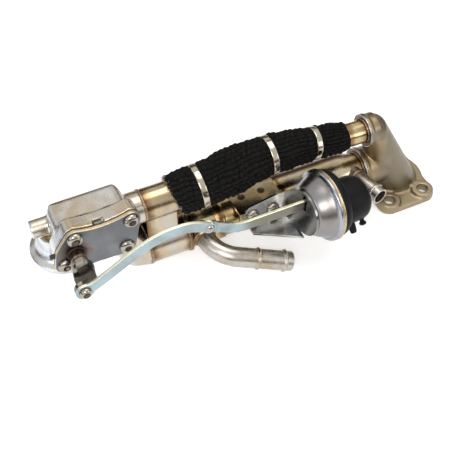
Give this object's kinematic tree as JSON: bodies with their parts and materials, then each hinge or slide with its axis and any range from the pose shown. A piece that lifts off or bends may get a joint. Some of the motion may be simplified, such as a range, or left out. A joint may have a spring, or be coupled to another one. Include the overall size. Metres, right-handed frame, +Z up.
{
  "type": "EGR cooler",
  "caption": "Exhaust gas recirculation cooler with an insulated bypass tube, a bypass flap valve worked by a vacuum actuator, coolant pipes and a bolted outlet collector.",
  "frame": {"origin": "centre of the outlet port and its four bolts, on the outlet flange's mating face", "axes": "+X along the tubes away from the valve, -Y towards the side with the actuator, +Z up from the outlet flange's face"},
  "size_m": [0.345, 0.1143, 0.0994],
  "materials": {
    "cast": "satin cast stainless steel with tan heat tints",
    "cover": "matt bluish-grey pressed plate",
    "gasket": "dark gasket sheet",
    "screw": "bright zinc screws",
    "bush": "brown oxidised bush",
    "lever": "dark glossy steel",
    "zinc": "pale bluish zinc plating",
    "can": "satin silver pressed can",
    "plastic": "black moulded plastic",
    "rubber": "black rubber",
    "spring": "spring wire",
    "shell": "gold-bronze heat-tinted stainless tube",
    "header": "heat-tinted stainless pressing with weld discolouring",
    "fabric": "black knitted heat sleeve",
    "band": "polished stainless band",
    "pipe": "polished stainless pipe"
  },
  "bodies": {
    "cooler": {"valve_housing": "cast", "cover_gasket": "gasket", "valve_cover": "cover", "cover_screws": "screw", "shaft_bush": "bush", "shaft_seal": "gasket", "diaphragm": "rubber", "return_spring": "spring", "actuator_can": "can", "actuator_cap": "plastic", "cap_cover": "plastic", "actuator_bracket": "zinc", "bracket_screws": "screw", "saddle_bracket": "shell", "cooler_shell": "shell", "tube_plate_inlet": "cast", "tube_plate_outlet": "cast", "gas_tubes": "cast", "inlet_header": "header", "bypass_tube": "shell", "insulation_sleeve": "fabric", "sleeve_clamp_1": "band", "sleeve_clamp_2": "band", "sleeve_clamp_3": "band", "coolant_outlet_pipe": "pipe", "coolant_inlet_spigot": "pipe", "outlet_collector": "cast"},
    "crank": {"flap_shaft": "lever", "bypass_flap": "cast", "crank_lever": "lever", "link_pin": "screw"},
    "rod": {"pull_link": "zinc", "actuator_rod": "zinc", "link_rivet": "zinc", "piston_plate": "spring"}
  },
  "joints": [
    {"name": "flap_hinge", "type": "hinge", "parent": "cooler", "child": "crank", "pos_m": [-0.288, -0.02, 0.076], "axis": [0, -1, 0], "range_deg": [0, 40], "stiffness_Nm_per_rad": 0.6, "springref_deg": -34.38, "deforming": ["diaphragm", "return_spring"]},
    {"name": "rod_pivot", "type": "hinge", "parent": "crank", "child": "rod", "pos_m": [-0.29171, -0.05, 0.06417], "axis": [0, -1, 0], "range_deg": [-41, 1]}
  ],
  "couplings": [
    {"joint": "rod_pivot", "follows": "flap_hinge", "ratio": -1}
  ]
}
